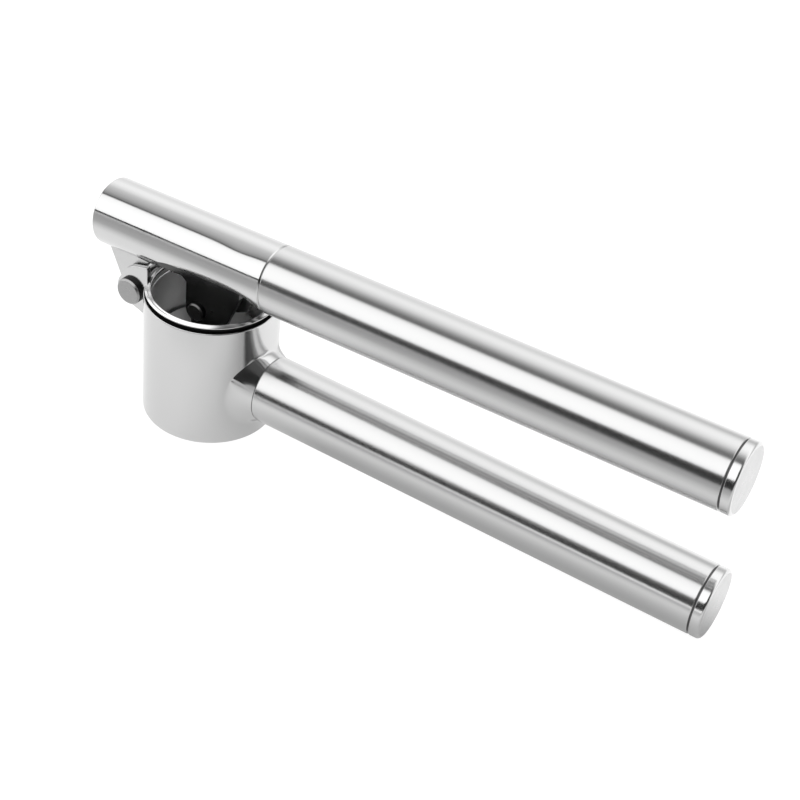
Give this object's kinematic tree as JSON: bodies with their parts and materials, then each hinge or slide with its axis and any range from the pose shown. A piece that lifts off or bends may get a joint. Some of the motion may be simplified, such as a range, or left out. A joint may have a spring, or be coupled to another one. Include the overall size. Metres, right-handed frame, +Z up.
{
  "type": "garlic press",
  "caption": "Hand-held garlic press in steel: round tube handles, hinged lever head with swinging plunger, and a cup holder with a loose perforated insert.",
  "frame": {"origin": "centre of the cup holder's bottom face, on the cup's axis", "axes": "+X along the handles towards their free ends, +Y across the handles, +Z up the cup's axis towards the lever"},
  "size_m": [0.1903, 0.0374, 0.0647],
  "materials": {
    "brushed_tube": "satin, brushed round the tube",
    "polished_steel": "mirror-polished stainless steel",
    "satin_steel": "fine satin",
    "chamber_steel": "bright, drawn sheet",
    "pin_steel": "turned, slightly dull"
  },
  "bodies": {
    "base": {"cup_holder": "satin_steel", "neck_stub": "satin_steel", "lower_handle_tube": "brushed_tube", "lower_end_cap": "brushed_tube", "pivot_pin": "pin_steel", "pivot_cap": "pin_steel", "pivot_washers": "pin_steel"},
    "insert": {"insert_sleeve": "chamber_steel", "sieve_plate": "chamber_steel"},
    "lever": {"lever_head": "polished_steel", "head_end_plug": "polished_steel", "cheek_near": "chamber_steel", "cheek_far": "chamber_steel", "lever_spigot": "pin_steel", "upper_handle_tube": "brushed_tube", "upper_end_cap": "brushed_tube", "pivot_bush": "pin_steel", "plunger_pin": "pin_steel", "plunger_pin_cap": "pin_steel"},
    "plunger": {"plunger_stem": "chamber_steel", "plunger_disc": "chamber_steel"}
  },
  "joints": [
    {"name": "lever_hinge", "type": "hinge", "parent": "base", "child": "lever", "pos_m": [-0.0217, 0, 0.0336], "axis": [0, -1, 0], "range_deg": [0, 110]},
    {"name": "plunger_hinge", "type": "hinge", "parent": "lever", "child": "plunger", "pos_m": [-0.0008, 0, 0.0348], "axis": [0, -1, 0], "range_deg": [-6.6, 0]},
    {"name": "insert_spin", "type": "hinge", "parent": "base", "child": "insert", "pos_m": [0, 0, 0.0202], "axis": [0, 0, 1], "continuous": true}
  ],
  "couplings": [
    {"joint": "plunger_hinge", "follows": "lever_hinge", "ratio": -0.06}
  ]
}
